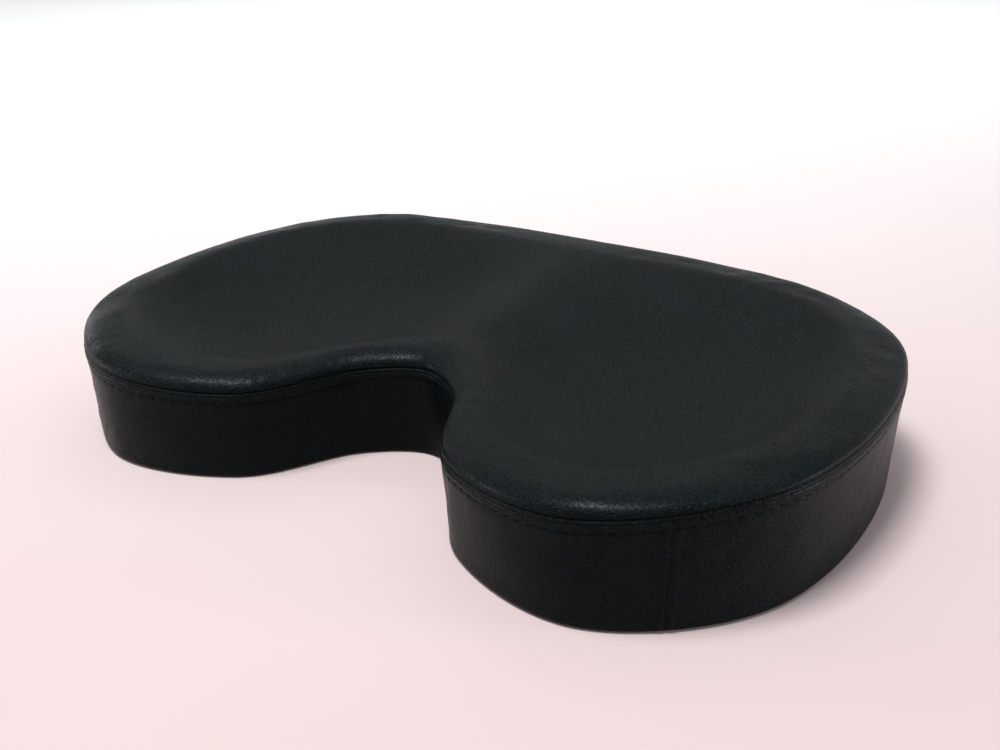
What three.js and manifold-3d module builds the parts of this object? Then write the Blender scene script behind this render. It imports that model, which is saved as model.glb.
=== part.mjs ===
// Contoured seat cushion: foam on a plywood board, under a sewn leatherette cover. Two seat bowls lie either
// side of a centre ridge, and a notch opens the front edge between two lobes.
// Millimetres, +Z up, notch at -Y. Origin: middle of the plan, on the underside.
import * as THREE from "three";
import { mergeVertices } from "three/addons/utils/BufferGeometryUtils.js";
import Module from "manifold-3d";

// ---- Driving dimensions -------------------------------------------------------------------------

// Plan of the cover at its lower edge
const WIDTH = 460;
const DEPTH = 290;
const END_Y = 10; // widest place of each end, from the middle
const BACK_SHOULDER = { fromEnd: 103, fromBack: 7 };
const BACK_CORNER = { fromEnd: 24, fromBack: 47 };
const LOBE_SIDE = { fromEnd: 17, fromFront: 54 };
const LOBE_FRONT = { fromEnd: 83, fromFront: 0.9 };
const NOTCH_MOUTH = { width: 143, fromFront: 22 };
const NOTCH_WAIST = { width: 67, fromFront: 81 };
const NOTCH_DEPTH = 100;

// Height of the seam between top panel and band, above the underside
const SEAM_MIDDLE = 56.8; // on the centre line, halfway back
const SEAM_TILT = 10.6; // rise from halfway to the back edge, and fall to the front
const SEAM_BEND = 3.4; // extra height at both front and back
const END_RISE = 6.7; // extra height at the two ends
const END_LEVELLING = 9.6; // how much of the tilt the ends lose
const FLARE = 3; // the seam stands out this far past the lower edge

// Shape of the top
const CROWN = { height: 8.5, width: 13, endWidth: 27 }; // the rolled edge: above the seam, and in from it
const ENDS = { from: 150, to: 215 }; // across, where the roll widens
const BACK_CORNER_RISE = 2.2; // extra crown at the two back corners
const BACK_CORNERS = { from: 85, to: 150, fromY: -50, toY: 50 };
const FRONT_END_FALL = 2.4; // lost crown at the front of the two ends
const FRONT_ENDS = { from: 185, to: 210, fromY: -50, toY: -95 };
const BOWL = { x: 112, y: -6, halfWidth: 96, halfDepth: 102, depth: 16, crest: 12 }; // crest rounds the ridge
const BOWL_EDGE = 50; // the bowls fade out this close to the seam

// Layers
const COVER = 1.2;
const SEAM_ALLOWANCE = 10;
const WADDING = 4;
const BOARD = 12;
const DUST_COVER = 0.6;
const HEM = 25; // cover turned under the board
const DUST_COVER_INSET = 8;
const GAP = 0.3; // clearance between pieces that touch along a curve

// Band seams, on the outer front of each lobe
const BAND_SEAM_FROM_END = 45;

// Tee nuts, quarter-inch thread
const TEE_NUT_PATTERN = { x: 152.4, y: 152.4, centreY: 10 };
const TEE_NUT = { bore: 6.4, barrel: 7.8, barrelLength: 11, flange: 19, flangeThickness: 1.2 };
const PRONG = { count: 4, radius: 7.6, width: 1.2, thickness: 1, length: 6 };
const ACCESS_HOLE = 11; // through the dust cover, under each tee nut

// Staples
const STAPLE = { crown: 9.5, wire: 0.4, wireWidth: 1 };
const HEM_STAPLES = { front: 12, rear: 14, inset: 19, leg: 8 };
const DUST_STAPLES = { count: 14, inset: 12.5, leg: 6 };

// Smoothness of the curved solids
const STEPS_TO_BAND_SEAM = 16; // round the outline, from the middle of the back
const STEPS_TO_LOBE_TIP = 5; // from there on
const RIB_STEPS = 10;
const SEAM_LINE_STEPS = 336;
const SEARCH_STEPS = 2000;
const ROUND = 16;
const RUN_PAST = 1; // cutters end this far outside what they cut

// Heights of the flat layers
const HEM_Z = DUST_COVER;
const BOARD_Z = HEM_Z + COVER;
const FOAM_Z = BOARD_Z + BOARD;

const wasm = await Module();
wasm.setup();

// ---- Materials ----------------------------------------------------------------------------------

function finish(color, roughness, metalness = 0) {
  return new THREE.MeshStandardMaterial({ color, roughness, metalness });
}

const leatherette = finish(0x1b1e20, 0.45);
const foam = finish(0x9a9c98, 0.95);
const wadding = finish(0xe6e5df, 0.95);
const plywood = finish(0xc19a6b, 0.75);
const nonWoven = finish(0x141414, 0.9);
const zinc = finish(0xb8bcc0, 0.35, 1);
const steel = finish(0x9fa3a6, 0.4, 1);

// ---- Mesh helpers -------------------------------------------------------------------------------

/** Shares equal vertices and drops the triangles that shrank to nothing. */
function welded(geometry) {
  const bare = geometry.clone();
  bare.deleteAttribute("normal");
  bare.deleteAttribute("uv");
  const merged = mergeVertices(bare, 1e-4);
  const corners = merged.index.array;
  const kept = [];
  for (let i = 0; i < corners.length; i += 3) {
    const [a, b, c] = corners.slice(i, i + 3);
    if (a !== b && b !== c && c !== a) kept.push(a, b, c);
  }
  merged.setIndex(kept);
  return merged;
}

function solid(geometry) {
  const merged = welded(geometry);
  const vertProperties = new Float32Array(merged.attributes.position.array);
  const triVerts = new Uint32Array(merged.index.array);
  return new wasm.Manifold(new wasm.Mesh({ numProp: 3, vertProperties, triVerts }));
}

function geometryOf(manifold) {
  const mesh = manifold.getMesh();
  return new THREE.BufferGeometry()
    .setAttribute("position", new THREE.BufferAttribute(mesh.vertProperties, 3))
    .setIndex(new THREE.BufferAttribute(mesh.triVerts, 1));
}

const union = (geometries) => geometries.map(solid).reduce((whole, next) => whole.add(next));
const joined = (...geometries) => geometryOf(union(geometries));
const cut = (body, cutters) => geometryOf(solid(body).subtract(union(cutters)));

/**
 * One closed surface through equal loops of points. Loops that end as a line need no caps. Each facet is split
 * along its shorter diagonal, so that two layers with the same points are split alike.
 */
function loft(loops, profile = null) {
  const count = loops[0].length;
  const points = loops.flat();
  const positions = points.flatMap((point) => point.toArray());
  const index = [];
  for (let row = 0; row < loops.length - 1; row++) {
    for (let i = 0; i < count; i++) {
      const a = row * count + i;
      const b = row * count + ((i + 1) % count);
      const c = b + count;
      const d = a + count;
      const splitAtoC = points[a].distanceTo(points[c]) < points[b].distanceTo(points[d]);
      index.push(...(splitAtoC ? [a, b, c, a, c, d] : [a, b, d, b, c, d]));
    }
  }
  if (profile) {
    const last = (loops.length - 1) * count;
    for (const [a, b, c] of THREE.ShapeUtils.triangulateShape(profile, [])) {
      index.push(a, b, c, last + a, last + c, last + b);
    }
  }
  const geometry = new THREE.BufferGeometry();
  geometry.setAttribute("position", new THREE.Float32BufferAttribute(positions, 3));
  geometry.setIndex(index);
  return welded(geometry);
}

function box(width, depth, height, x, y, lowZ) {
  return new THREE.BoxGeometry(width, depth, height).translate(x, y, lowZ + height / 2);
}

function upright(diameter, height, x, y, lowZ) {
  return new THREE.CylinderGeometry(diameter / 2, diameter / 2, height, ROUND)
    .rotateX(Math.PI / 2)
    .translate(x, y, lowZ + height / 2);
}

// ---- Plan outline -------------------------------------------------------------------------------

const halfWidth = WIDTH / 2;
const halfDepth = DEPTH / 2;
const rightHalf = [
  [halfWidth - BACK_SHOULDER.fromEnd, halfDepth - BACK_SHOULDER.fromBack],
  [halfWidth - BACK_CORNER.fromEnd, halfDepth - BACK_CORNER.fromBack],
  [halfWidth, END_Y],
  [halfWidth - LOBE_SIDE.fromEnd, LOBE_SIDE.fromFront - halfDepth],
  [halfWidth - LOBE_FRONT.fromEnd, LOBE_FRONT.fromFront - halfDepth],
  [NOTCH_MOUTH.width / 2, NOTCH_MOUTH.fromFront - halfDepth],
  [NOTCH_WAIST.width / 2, NOTCH_WAIST.fromFront - halfDepth],
];
const leftHalf = rightHalf.map(([x, y]) => [-x, y]).reverse();
const corners = [[0, halfDepth], ...rightHalf, [0, NOTCH_DEPTH - halfDepth], ...leftHalf];
const outline = new THREE.CatmullRomCurve3(corners.map(([x, y]) => new THREE.Vector3(x, y, 0)), true);
outline.arcLengthDivisions = 2000;

/** A place on the outline: share 0 at the middle of the back, 0.5 at the notch, by way of the +X end. */
function placeAt(share) {
  const wrapped = THREE.MathUtils.euclideanModulo(share, 1);
  const point = outline.getPointAt(wrapped);
  const tangent = outline.getTangentAt(wrapped);
  return { point: new THREE.Vector2(point.x, point.y), inward: new THREE.Vector2(tangent.y, -tangent.x) };
}

const insetFrom = (place, distance) => place.point.clone().addScaledVector(place.inward, distance);

/** The share between two others where the measure of its point is least. */
function leastShare(measure, from, to) {
  let best = from;
  for (let i = 0; i <= SEARCH_STEPS; i++) {
    const share = THREE.MathUtils.lerp(from, to, i / SEARCH_STEPS);
    if (measure(outline.getPointAt(share)) < measure(outline.getPointAt(best))) best = share;
  }
  return best;
}

// The lobe tip is the foremost place between the +X end and the notch, and the band seam is a little before it.
const lobeTip = leastShare((point) => point.y, 0.2, 0.5);
const bandSeamX = halfWidth - BAND_SEAM_FROM_END;
const bandSeam = leastShare((point) => Math.abs(point.x - bandSeamX), lobeTip - 0.1, lobeTip);

/** Evenly spaced values from one end up to, but not including, the other. */
function steps(count, from, to) {
  return Array.from({ length: count }, (_, i) => THREE.MathUtils.lerp(from, to, i / count));
}

// Steps along one side, from 0 at the middle of the back or of the notch to 1 at the lobe tip. One falls on the
// band seam. Every solid takes its corners at these steps, so that their flat facets lie parallel.
const sideSteps = [
  ...steps(STEPS_TO_BAND_SEAM, 0, bandSeam / lobeTip),
  ...steps(STEPS_TO_LOBE_TIP, bandSeam / lobeTip, 1),
  1,
];
const outerShare = (step) => step * lobeTip;
const innerShare = (step) => 0.5 - step * (0.5 - lobeTip);
const halfRim = [...sideSteps.map(outerShare), ...sideSteps.slice(0, -1).reverse().map(innerShare)];
const rim = [...halfRim, ...halfRim.slice(1, -1).reverse().map((share) => 1 - share)];

// ---- Heights ------------------------------------------------------------------------------------

function seamHeight(x, y) {
  const across = (x / halfWidth) ** 2;
  const back = y / halfDepth;
  return SEAM_MIDDLE + SEAM_TILT * back + SEAM_BEND * back ** 2 + across * (END_RISE - END_LEVELLING * back);
}

const seamLine = steps(SEAM_LINE_STEPS, 0, 1).map((share) => insetFrom(placeAt(share), -FLARE));

function distanceToSeam(point) {
  const along = new THREE.Vector2();
  const off = new THREE.Vector2();
  const gaps = seamLine.map((start, i) => {
    along.copy(seamLine[(i + 1) % seamLine.length]).sub(start);
    off.copy(point).sub(start);
    const share = THREE.MathUtils.clamp(off.dot(along) / along.lengthSq(), 0, 1);
    return off.addScaledVector(along, -share).length();
  });
  return Math.min(...gaps);
}

/** How deep the nearer bowl is here, from 0 outside it to 1 at its middle. */
function bowlShare(x, y) {
  const fromMiddle = Math.abs(x) + BOWL.crest * Math.exp(-Math.abs(x) / BOWL.crest);
  const reach = Math.hypot((fromMiddle - BOWL.x) / BOWL.halfWidth, (y - BOWL.y) / BOWL.halfDepth);
  return Math.exp(-(reach ** 4));
}

/** A smooth share from 0 at one value to 1 at the other, whichever is greater. */
function blend(value, from, to) {
  const share = THREE.MathUtils.clamp((value - from) / (to - from), 0, 1);
  return share ** 2 * (3 - 2 * share);
}

/** Rise of the rolled edge here, so far in from the seam. */
function crownHeight(x, y, edge) {
  const across = Math.abs(x);
  const width = THREE.MathUtils.lerp(CROWN.width, CROWN.endWidth, blend(across, ENDS.from, ENDS.to));
  const [back, front] = [BACK_CORNERS, FRONT_ENDS].map(
    (zone) => blend(across, zone.from, zone.to) * blend(y, zone.fromY, zone.toY),
  );
  const height = CROWN.height + BACK_CORNER_RISE * back - FRONT_END_FALL * front;
  const rolled = 1 - Math.min(edge / width, 1);
  return height * Math.sqrt(1 - rolled ** 2);
}

/** Height of the finished top, cover included. */
function topHeight({ x, y }) {
  const edge = distanceToSeam(new THREE.Vector2(x, y));
  const bowl = BOWL.depth * bowlShare(x, y) * blend(edge, 0, BOWL_EDGE);
  return seamHeight(x, y) + crownHeight(x, y, edge) - bowl;
}

/** A point so far in from the band's outer face, at a height. The band leans out by the flare. */
function sidePoint(place, layer, z) {
  const seam = seamHeight(place.point.x, place.point.y);
  const plan = insetFrom(place, layer - (FLARE * z) / seam);
  return new THREE.Vector3(plan.x, plan.y, z);
}

const seamAt = (place) => seamHeight(place.point.x, place.point.y);

// ---- Ribs: lines across the plan from the back and ends to the notch side, one short rib at each lobe tip 

const skirtLayer = COVER + GAP; // the seam allowance hangs inside the band
const fillLayer = skirtLayer + COVER + GAP; // foam and wadding start inside the allowance

/** A rib: its two places on the outline, and the top's points between them, all drawn in by the fill layer. */
function rib(step) {
  const outer = placeAt(outerShare(step));
  const inner = Math.abs(step) === 1 ? outer : placeAt(innerShare(step));
  const start = insetFrom(outer, fillLayer - FLARE);
  const end = insetFrom(inner, fillLayer - FLARE);
  const top = Array.from({ length: RIB_STEPS + 1 }, (_, i) => {
    const share = (1 - Math.cos((Math.PI * i) / RIB_STEPS)) / 2;
    const plan = start.clone().lerp(end, share);
    return new THREE.Vector3(plan.x, plan.y, topHeight(plan));
  });
  return { outer, inner, top };
}

const ribs = [...sideSteps.slice(1).reverse().map((step) => -step), ...sideSteps].map(rib);

const lowered = (points, drop) => points.map((point) => new THREE.Vector3(point.x, point.y, point.z - drop));

// ---- Pieces -------------------------------------------------------------------------------------

const cushion = new THREE.Group();

function addPiece(name, geometry, material) {
  const mesh = new THREE.Mesh(geometry, material);
  mesh.name = name;
  cushion.add(mesh);
  return mesh;
}

/** A flat sheet on the plan outline, drawn in all round. */
function flatSheet(inset, thickness, lowZ) {
  const edge = rim.map((share) => insetFrom(placeAt(share), inset));
  const sheet = new THREE.ExtrudeGeometry(new THREE.Shape(edge), { depth: thickness, bevelEnabled: false });
  return sheet.translate(0, 0, lowZ);
}

const teeNutPlaces = [-1, 1].flatMap((side) =>
  [-1, 1].map((row) => ({
    x: (side * TEE_NUT_PATTERN.x) / 2,
    y: TEE_NUT_PATTERN.centreY + (row * TEE_NUT_PATTERN.y) / 2,
  })),
);

/** Where a staple sits: its middle, and the turn that lays its crown along the edge. */
function staplePlace(share, inset) {
  const place = placeAt(share);
  const middle = insetFrom(place, inset);
  return { x: middle.x, y: middle.y, turn: Math.atan2(place.inward.x, -place.inward.y) };
}

/** Evenly spaced shares between two ends, half a step in from each. */
const spaced = (count, from, to) => steps(count, from, to).map((share) => share + (to - from) / (2 * count));


function staplePlaces(count, from, to, inset) {
  return spaced(count, from, to).map((share) => staplePlace(share, inset));
}

const frontStaplePlaces = staplePlaces(HEM_STAPLES.front, bandSeam, 1 - bandSeam, HEM_STAPLES.inset);
const rearStaplePlaces = staplePlaces(HEM_STAPLES.rear, -bandSeam, bandSeam, HEM_STAPLES.inset);
const dustStaplePlaces = staplePlaces(DUST_STAPLES.count, 0, 1, DUST_STAPLES.inset);

const placed = (geometry, { x, y, turn }) => geometry.rotateZ(turn).translate(x, y, 0);

/** A staple as driven upwards: its crown below, its two legs above. */
function stapleGeometry(leg, crownZ) {
  const half = STAPLE.crown / 2;
  const shape = new THREE.Shape([
    new THREE.Vector2(-half, 0),
    new THREE.Vector2(half, 0),
    new THREE.Vector2(half, leg),
    new THREE.Vector2(half - STAPLE.wire, leg),
    new THREE.Vector2(half - STAPLE.wire, STAPLE.wire),
    new THREE.Vector2(STAPLE.wire - half, STAPLE.wire),
    new THREE.Vector2(STAPLE.wire - half, leg),
    new THREE.Vector2(-half, leg),
  ]);
  return new THREE.ExtrudeGeometry(shape, { depth: STAPLE.wireWidth, bevelEnabled: false })
    .rotateX(Math.PI / 2)
    .translate(0, STAPLE.wireWidth / 2, crownZ);
}

/** Two leg holes for one staple, from below its crown up to where its legs end. */
function stapleLegRoom(place, leg, crownZ) {
  const wide = STAPLE.wire + 2 * GAP;
  const deep = STAPLE.wireWidth + 2 * GAP;
  const legX = (STAPLE.crown - STAPLE.wire) / 2;
  const room = [-1, 1].map((side) => box(wide, deep, leg + GAP + RUN_PAST, side * legX, 0, crownZ - RUN_PAST));
  return room.map((geometry) => placed(geometry, place));
}

/** The pocket that one staple's crown is pressed into. */
function stapleCrownRoom(place, crownZ) {
  const wide = STAPLE.crown - 2 * STAPLE.wire;
  const deep = STAPLE.wireWidth + 2 * GAP;
  return placed(box(wide, deep, STAPLE.wire + RUN_PAST, 0, 0, crownZ - RUN_PAST), place);
}

function addBoard() {
  const cutters = teeNutPlaces.flatMap(({ x, y }) => [
    upright(TEE_NUT.barrel + 2 * GAP, BOARD + 2 * RUN_PAST, x, y, BOARD_Z - RUN_PAST),
    ...prongBoxes(GAP).map((prong) => prong.translate(x, y, 0)),
  ]);
  const hemStaples = [...frontStaplePlaces, ...rearStaplePlaces];
  cutters.push(...hemStaples.flatMap((place) => stapleLegRoom(place, HEM_STAPLES.leg, HEM_Z)));
  cutters.push(...dustStaplePlaces.flatMap((place) => stapleLegRoom(place, DUST_STAPLES.leg, 0)));
  addPiece("base_board", cut(flatSheet(COVER + GAP, BOARD, BOARD_Z), cutters), plywood);
}

/** The prongs of a tee nut, or the slots for them when they are grown by a clearance. */
function prongBoxes(clearance) {
  return Array.from({ length: PRONG.count }, (_, i) => {
    const prong = box(
      PRONG.thickness + 2 * clearance,
      PRONG.width + 2 * clearance,
      PRONG.length + clearance,
      PRONG.radius,
      0,
      FOAM_Z - PRONG.length - clearance,
    );
    return prong.rotateZ((2 * Math.PI * i) / PRONG.count);
  });
}

function addTeeNuts() {
  const bore = TEE_NUT.bore / 2;
  const barrel = TEE_NUT.barrel / 2;
  const flange = TEE_NUT.flange / 2;
  const profile = [
    [bore, FOAM_Z - TEE_NUT.barrelLength],
    [barrel, FOAM_Z - TEE_NUT.barrelLength],
    [barrel, FOAM_Z],
    [flange, FOAM_Z],
    [flange, FOAM_Z + TEE_NUT.flangeThickness],
    [bore, FOAM_Z + TEE_NUT.flangeThickness],
    [bore, FOAM_Z - TEE_NUT.barrelLength],
  ].map(([radius, z]) => new THREE.Vector2(radius, z));
  const turned = new THREE.LatheGeometry(profile, ROUND).rotateX(Math.PI / 2);
  const raisedProngs = prongBoxes(0).map((prong) => prong.translate(0, 0, TEE_NUT.flangeThickness / 2));
  const nut = joined(turned, ...raisedProngs);
  teeNutPlaces.forEach(({ x, y }, i) => {
    addPiece(`tee_nut_${i + 1}`, nut.clone(), zinc).position.set(x, y, 0);
  });
}

function addFill() {
  const drop = COVER + GAP;
  const wadLoops = ribs.map(({ top }) => [...lowered(top, drop), ...lowered(top, drop + WADDING).reverse()]);
  addPiece("wadding_layer", loft(wadLoops), wadding);

  const foamDrop = drop + WADDING + GAP;
  const foamLoops = ribs.map(({ outer, inner, top }) => [
    ...lowered(top, foamDrop),
    sidePoint(inner, fillLayer, FOAM_Z),
    sidePoint(outer, fillLayer, FOAM_Z),
  ]);
  const pockets = teeNutPlaces.map(({ x, y }) =>
    upright(TEE_NUT.flange + 2 * GAP, TEE_NUT.flangeThickness + GAP + RUN_PAST, x, y, FOAM_Z - RUN_PAST),
  );
  addPiece("foam_core", cut(loft(foamLoops), pockets), foam);
}

/** The top panel: the outer face, and an allowance all round that hangs down inside the band. */
function addTopPanel() {
  const loops = ribs.map(({ outer, inner, top }) => {
    const edge = (place) => {
      const seam = seamAt(place);
      return [
        sidePoint(place, 0, seam),
        sidePoint(place, 0, seam - COVER),
        sidePoint(place, skirtLayer, seam - COVER),
        sidePoint(place, skirtLayer, seam - SEAM_ALLOWANCE),
        sidePoint(place, skirtLayer + COVER, seam - SEAM_ALLOWANCE),
        sidePoint(place, skirtLayer + COVER, seam),
      ];
    };
    return [...top, ...edge(inner), ...lowered(top, COVER).reverse(), ...edge(outer).reverse()];
  });
  addPiece("top_panel", loft(loops), leatherette);
}

/** A band piece: the side wall from the seam down, and its hem turned in under the board. */
function bandGeometry(shares) {
  const loops = shares.map(placeAt).map((place) => {
    const upper = seamAt(place) - COVER - GAP;
    const hemPoint = (z) => {
      const plan = insetFrom(place, HEM);
      return new THREE.Vector3(plan.x, plan.y, z);
    };
    return [
      sidePoint(place, COVER, upper),
      sidePoint(place, COVER, BOARD_Z),
      hemPoint(BOARD_Z),
      hemPoint(HEM_Z),
      sidePoint(place, 0, HEM_Z),
      sidePoint(place, 0, upper),
    ];
  });
  const profile = [
    [COVER, 2 * COVER],
    [COVER, COVER],
    [HEM, COVER],
    [HEM, 0],
    [0, 0],
    [0, 2 * COVER],
  ].map(([x, y]) => new THREE.Vector2(x, y));
  return loft(loops, profile);
}

function addBand() {
  const seamGap = GAP / 2 / outline.getLength();
  const between = (shares, from, to) => [from, ...shares.filter((share) => share > from && share < to), to];
  const aboutBack = rim.map((share) => (share > 0.5 ? share - 1 : share)).sort((a, b) => a - b);
  const front = between(rim, bandSeam + seamGap, 1 - bandSeam - seamGap);
  const rear = between(aboutBack, seamGap - bandSeam, bandSeam - seamGap);
  const pieces = [
    { name: "band_front", shares: front, staples: frontStaplePlaces },
    { name: "band_rear", shares: rear, staples: rearStaplePlaces },
  ];
  for (const { name, shares, staples } of pieces) {
    const hemCuts = staples.flatMap((place) => [
      ...stapleLegRoom(place, HEM_STAPLES.leg, HEM_Z),
      stapleCrownRoom(place, HEM_Z),
    ]);
    const dustCuts = dustStaplePlaces.flatMap((place) => stapleLegRoom(place, DUST_STAPLES.leg, 0));
    addPiece(name, cut(bandGeometry(shares), [...hemCuts, ...dustCuts]), leatherette);
  }
}

function addDustCover() {
  const sheet = flatSheet(DUST_COVER_INSET, DUST_COVER, 0);
  const through = DUST_COVER + 2 * RUN_PAST;
  const holes = teeNutPlaces.map(({ x, y }) => upright(ACCESS_HOLE, through, x, y, -RUN_PAST));
  const legs = dustStaplePlaces.flatMap((place) => stapleLegRoom(place, DUST_STAPLES.leg, 0));
  const crowns = dustStaplePlaces.map((place) => stapleCrownRoom(place, 0));
  addPiece("dust_cover", cut(sheet, [...holes, ...legs, ...crowns]), nonWoven);
}

function addStaples(prefix, places, leg, crownZ) {
  places.forEach((place, i) => {
    const name = `${prefix}_${String(i + 1).padStart(2, "0")}`;
    const staple = addPiece(name, stapleGeometry(leg, crownZ), steel);
    staple.position.set(place.x, place.y, 0);
    staple.rotation.z = place.turn;
  });
}

addBoard();
addTeeNuts();
addFill();
addTopPanel();
addBand();
addDustCover();
addStaples("hem_staple_front", frontStaplePlaces, HEM_STAPLES.leg, HEM_Z);
addStaples("hem_staple_rear", rearStaplePlaces, HEM_STAPLES.leg, HEM_Z);
addStaples("dust_cover_staple", dustStaplePlaces, DUST_STAPLES.leg, 0);

export default cushion;
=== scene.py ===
"""Contoured seat cushion: sewn leatherette cover, stitching, fill and underside, round the fixed frame."""

import itertools
import logging
import math
from collections import defaultdict
from dataclasses import dataclass, field
from enum import Enum

import bmesh
import bpy
import numpy as np
from mathutils import Matrix, Quaternion, Vector
from mathutils.bvhtree import BVHTree
from mathutils.geometry import delaunay_2d_cdt
from mathutils.kdtree import KDTree

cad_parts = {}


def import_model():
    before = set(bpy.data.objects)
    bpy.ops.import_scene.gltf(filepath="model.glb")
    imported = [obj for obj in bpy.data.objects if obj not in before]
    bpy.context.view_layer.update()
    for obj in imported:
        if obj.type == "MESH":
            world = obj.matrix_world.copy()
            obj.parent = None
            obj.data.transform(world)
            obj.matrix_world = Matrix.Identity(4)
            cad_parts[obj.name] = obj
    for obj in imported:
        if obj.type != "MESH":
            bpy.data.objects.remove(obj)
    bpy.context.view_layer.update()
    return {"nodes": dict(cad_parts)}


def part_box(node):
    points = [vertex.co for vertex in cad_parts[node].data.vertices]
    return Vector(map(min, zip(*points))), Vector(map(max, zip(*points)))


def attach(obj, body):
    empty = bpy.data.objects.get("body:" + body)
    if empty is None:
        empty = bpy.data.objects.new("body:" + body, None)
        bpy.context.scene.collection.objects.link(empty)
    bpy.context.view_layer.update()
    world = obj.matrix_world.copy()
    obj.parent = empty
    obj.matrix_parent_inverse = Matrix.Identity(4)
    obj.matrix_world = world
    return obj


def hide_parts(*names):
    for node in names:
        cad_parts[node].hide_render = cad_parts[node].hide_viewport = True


log = logging.getLogger("seat_cushion")

MM = 0.001
ROOT = "root"

# Two points nearer than this are one
CLOSE = 1e-6

# The cover and the fill as the frame has them
COVER = 1.2 * MM
GAP = 0.3 * MM
HEM_Z = 0.6 * MM
WADDING = 4 * MM


# ---- Numbers and meshes --------------------------------------------------------------------------


def smooth_step(value: np.ndarray, low: float, high: float) -> np.ndarray:
    """A share from 0 at low to 1 at high, with no corner at either end."""
    share = np.clip((value - low) / (high - low), 0, 1)
    return share * share * (3 - 2 * share)


def hump(value: np.ndarray, centre: float, half_width: float) -> np.ndarray:
    """A bell from 0 to 1, highest at centre."""
    return np.exp(-(((value - centre) / half_width) ** 2))


def lattice_noise(points: np.ndarray, seed: int) -> np.ndarray:
    """Smooth noise from -1 to 1, with one bump to about each unit.

    Args:
        points: places, one row each, in one to three columns.
        seed: which of the many patterns.

    Returns:
        One value per row.
    """
    primes = np.array([73856093, 19349663, 83492791], np.int64)[: points.shape[1]]
    cell = np.floor(points).astype(np.int64)
    part = points - cell
    fade = part**3 * (part * (part * 6 - 15) + 10)
    total = np.zeros(len(points))
    for corner in itertools.product((0, 1), repeat=points.shape[1]):
        key = ((cell + np.array(corner)) * primes).sum(1) + seed * 2654435761
        key = (key ^ (key >> 15)) * 2246822519 & 0xFFFFFFFF
        key = (key ^ (key >> 13)) * 3266489917 & 0xFFFFFFFF
        value = ((key ^ (key >> 16)) & 0xFFFF) / 32767.5 - 1
        total += value * np.where(corner, fade, 1 - fade).prod(1)
    return total


def new_piece(name: str, vertices: np.ndarray, faces: list) -> bpy.types.Object:
    """An object with smooth faces from vertices in metres and faces that point outwards."""
    mesh = bpy.data.meshes.new(name)
    mesh.from_pydata(vertices.tolist(), [], faces)
    mesh.validate()
    mesh.shade_smooth()
    piece = bpy.data.objects.new(name, mesh)
    bpy.context.scene.collection.objects.link(piece)
    return piece


def select_only(piece: bpy.types.Object) -> None:
    """Makes a piece the one selected and active object."""
    bpy.ops.object.select_all(action="DESELECT")
    piece.select_set(True)
    bpy.context.view_layer.objects.active = piece


def apply_modifier(piece: bpy.types.Object, kind: str, **settings: object) -> None:
    """Adds a modifier with these settings to a piece and applies it."""
    select_only(piece)
    modifier = piece.modifiers.new(kind.lower(), kind)
    for key, value in settings.items():
        setattr(modifier, key, value)
    bpy.ops.object.modifier_apply(modifier=modifier.name)


def grid_faces(rows: int, columns: int, closed: bool) -> list[tuple[int, int, int, int]]:
    """Quads of a grid that is numbered row by row.

    Args:
        rows: how many rows of vertices.
        columns: how many vertices in a row.
        closed: whether the last column meets the first.

    Returns:
        The quads, each turning from a row to the one after it.
    """
    quads = []
    for row, i in itertools.product(range(rows - 1), range(columns if closed else columns - 1)):
        here, there = row * columns, (row + 1) * columns
        ahead = (i + 1) % columns
        quads.append((here + i, here + ahead, there + ahead, there + i))
    return quads


def block_faces(triangles: list[tuple[int, ...]], edge: int, count: int) -> list[tuple[int, ...]]:
    """Faces of a closed block between a surface and its copy below.

    Args:
        triangles: the upper surface's faces, looking up.
        edge: how many of its points, the first ones, go round its edge clockwise from above.
        count: how many points it has in all. The lower surface's points follow in the same order.

    Returns:
        Upper, lower and side faces, looking outwards.
    """
    lower = [tuple(v + count for v in reversed(face)) for face in triangles]
    sides = [(i, (i + 1) % edge, (i + 1) % edge + count, i + count) for i in range(edge)]
    return triangles + lower + sides


def mesh_points(piece: bpy.types.Object) -> np.ndarray:
    """A piece's vertices, one row each."""
    flat = np.empty(len(piece.data.vertices) * 3)
    piece.data.vertices.foreach_get("co", flat)
    return flat.reshape(-1, 3)


def set_points(piece: bpy.types.Object, points: np.ndarray) -> None:
    """Moves a piece's vertices to these places."""
    piece.data.vertices.foreach_set("co", points.ravel())
    piece.data.update()


# ---- The seat's form, from the frame -------------------------------------------------------------


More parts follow.
